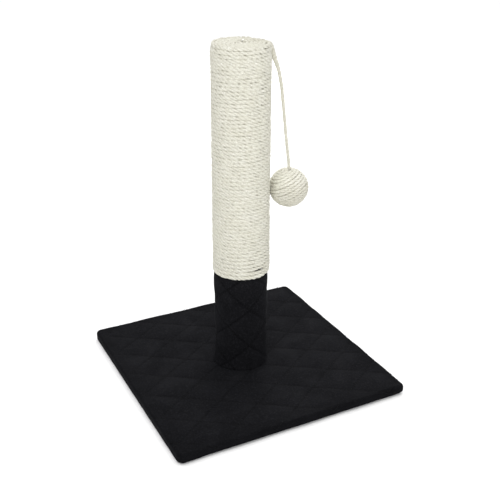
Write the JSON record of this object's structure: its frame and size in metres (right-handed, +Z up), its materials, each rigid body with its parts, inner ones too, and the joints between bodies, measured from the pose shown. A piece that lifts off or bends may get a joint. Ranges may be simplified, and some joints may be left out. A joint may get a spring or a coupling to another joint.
{
  "type": "cat scratching post",
  "caption": "Small free-standing cat scratching post: quilted velvet base and sleeve, rope-wound post with a coiled top, and a rope ball swinging on a cord from the rim.",
  "frame": {"origin": "middle of the base's underside, on the surface it stands on", "axes": "+Z up along the post, +X and +Y along the sides of the square base; the ball hangs on the +X side, 12 degrees towards -Y"},
  "size_m": [0.3, 0.3, 0.4145],
  "materials": {
    "quilted_velvet": "black velvet, quilted in diamonds",
    "post_rope": "off-white twisted rope",
    "toy_cord": "off-white twisted cord",
    "ball_rope": "off-white rope winding",
    "ball_plastic": "moulded plastic",
    "board": "raw fibreboard",
    "backing_cloth": "black non-woven cloth",
    "cardboard": "spiral-wound cardboard",
    "plug_wood": "raw pine",
    "steel": "zinc plated"
  },
  "bodies": {
    "stand": {"base_cover": "quilted_velvet", "base_board": "board", "backing_cloth": "backing_cloth", "cover_staples": "steel", "base_bolt": "steel", "bolt_washer": "steel", "post_tube": "cardboard", "bottom_plug": "plug_wood", "threaded_insert": "steel", "plug_nails": "steel", "top_plug": "plug_wood", "post_sleeve": "quilted_velvet", "rope_wrap": "post_rope", "rope_top_coil": "post_rope", "rope_staples": "steel", "cord_tail": "toy_cord", "cord_staple": "steel"},
    "cord_over_rim": {"cord_lead": "toy_cord"},
    "hanging_cord": {"cord_drop": "toy_cord", "cord_knot": "toy_cord"},
    "toy_ball": {"ball_winding": "ball_rope", "ball_core": "ball_plastic"}
  },
  "joints": [
    {"name": "ball_swings_sideways", "type": "hinge", "parent": "stand", "child": "cord_over_rim", "pos_m": [0.0315, -0.0067, 0.4123], "axis": [0.9781, -0.2079, 0], "range_deg": [-60, 60]},
    {"name": "ball_swings_out", "type": "hinge", "parent": "cord_over_rim", "child": "hanging_cord", "pos_m": [0.0315, -0.0067, 0.4123], "axis": [-0.2079, -0.9781, 0], "range_deg": [0, 75]},
    {"name": "ball_turns_on_cord", "type": "hinge", "parent": "hanging_cord", "child": "toy_ball", "pos_m": [0.05771, -0.01227, 0.2405], "axis": [0, 0, 1], "range_deg": [-180, 180]}
  ]
}
